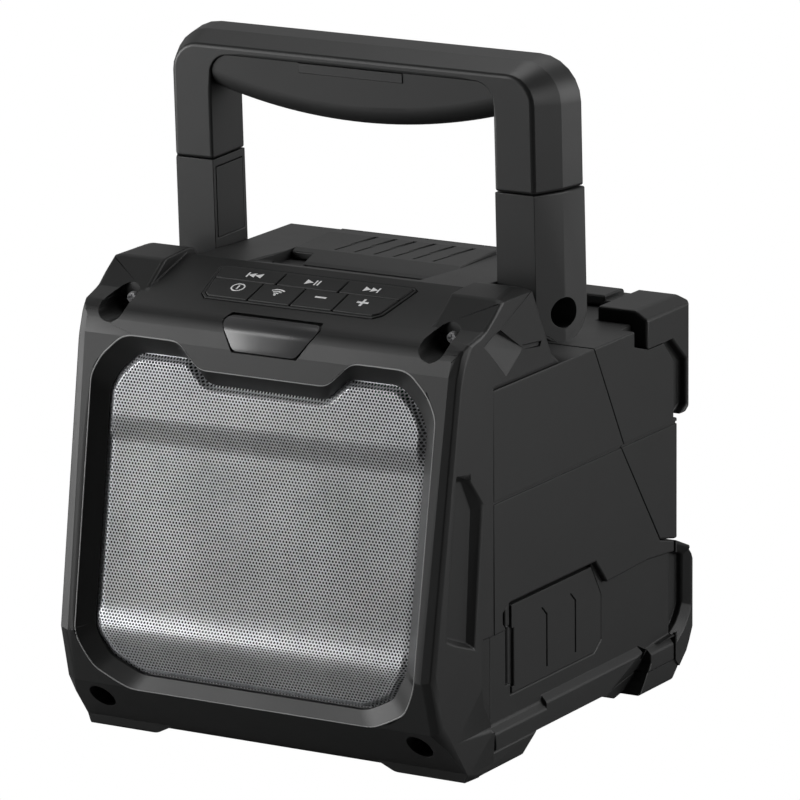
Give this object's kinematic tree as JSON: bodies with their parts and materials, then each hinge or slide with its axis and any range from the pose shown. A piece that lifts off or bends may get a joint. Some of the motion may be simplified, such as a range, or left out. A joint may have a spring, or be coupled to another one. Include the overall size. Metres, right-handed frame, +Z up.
{
  "type": "jobsite speaker",
  "caption": "Rugged portable jobsite speaker with a leaning perforated grille, sloped key field, top lid, side port cover and a folding carry handle.",
  "frame": {"origin": "on the ground, under the middle of the overall box", "axes": "+X to the right of the grille, +Y to the rear, +Z up"},
  "size_m": [0.222, 0.25, 0.3312],
  "materials": {
    "frame": "fine moulded grain",
    "shell": "fine moulded grain",
    "bumper": "fine moulded grain",
    "lid": "fine moulded grain",
    "handle": "fine moulded grain",
    "grip": "soft matt",
    "trim": "smooth",
    "flap": "soft matt",
    "keys": "soft matt",
    "badge": "satin",
    "grille": "silver grey, perforated",
    "steel": "plated",
    "bush": "bare",
    "inner": "black",
    "board": "board green",
    "basket": "pressed",
    "cone": "pressed paper",
    "surround": "soft",
    "magnet": "ground",
    "pack": "wrapped cells"
  },
  "bodies": {
    "base": {"front_frame": "frame", "grille": "grille", "baffle": "inner", "badge": "badge", "key_surround": "keys", "key_board": "board", "front_screws": "steel", "front_shell": "shell", "rear_shell": "shell", "bumper_lower": "bumper", "bumper_left": "bumper", "bumper_right": "bumper", "lid_pin": "steel", "pivot_bolts": "steel", "pivot_bushes": "bush", "port_pin": "steel", "port_plate": "inner", "socket_usb": "steel", "socket_aux": "inner", "socket_power": "inner", "port_board": "board", "driver_baskets": "basket", "driver_cones": "cone", "driver_surrounds": "surround", "driver_magnets": "magnet", "main_board": "board", "battery_pack": "pack"},
    "handle": {"handle_arch": "handle", "grip": "grip", "grip_strip": "trim", "leg_left": "handle", "leg_right": "handle", "leg_cover_left": "trim", "leg_cover_right": "trim"},
    "lid": {"lid": "lid"},
    "port_cover": {"port_cover": "flap"},
    "key_power": {"key_power": "keys"},
    "key_wireless": {"key_wireless": "keys"},
    "key_minus": {"key_minus": "keys"},
    "key_plus": {"key_plus": "keys"},
    "key_previous": {"key_previous": "keys"},
    "key_play": {"key_play": "keys"},
    "key_next": {"key_next": "keys"}
  },
  "joints": [
    {"name": "handle_fold", "type": "hinge", "parent": "base", "child": "handle", "pos_m": [0, -0.0018, 0.2088], "axis": [1, 0, 0], "range_deg": [-92, 30]},
    {"name": "lid_open", "type": "hinge", "parent": "base", "child": "lid", "pos_m": [0, 0.048, 0.2215], "axis": [-1, 0, 0], "range_deg": [0, 78]},
    {"name": "port_cover_open", "type": "hinge", "parent": "base", "child": "port_cover", "pos_m": [0.1034, -0.0538, 0.0523], "axis": [0, 0, -1], "range_deg": [0, 100]},
    {"name": "power_press", "type": "slide", "parent": "base", "child": "key_power", "axis": [0, 0.2924, -0.9563], "range_m": [0, 0.0008], "stiffness_N_per_m": 900, "springref_m": -0.0004},
    {"name": "wireless_press", "type": "slide", "parent": "base", "child": "key_wireless", "axis": [0, 0.2924, -0.9563], "range_m": [0, 0.0008], "stiffness_N_per_m": 900, "springref_m": -0.0004},
    {"name": "minus_press", "type": "slide", "parent": "base", "child": "key_minus", "axis": [0, 0.2924, -0.9563], "range_m": [0, 0.0008], "stiffness_N_per_m": 900, "springref_m": -0.0004},
    {"name": "plus_press", "type": "slide", "parent": "base", "child": "key_plus", "axis": [0, 0.2924, -0.9563], "range_m": [0, 0.0008], "stiffness_N_per_m": 900, "springref_m": -0.0004},
    {"name": "previous_press", "type": "slide", "parent": "base", "child": "key_previous", "axis": [0, 0.2924, -0.9563], "range_m": [0, 0.0008], "stiffness_N_per_m": 900, "springref_m": -0.0004},
    {"name": "play_press", "type": "slide", "parent": "base", "child": "key_play", "axis": [0, 0.2924, -0.9563], "range_m": [0, 0.0008], "stiffness_N_per_m": 900, "springref_m": -0.0004},
    {"name": "next_press", "type": "slide", "parent": "base", "child": "key_next", "axis": [0, 0.2924, -0.9563], "range_m": [0, 0.0008], "stiffness_N_per_m": 900, "springref_m": -0.0004}
  ]
}
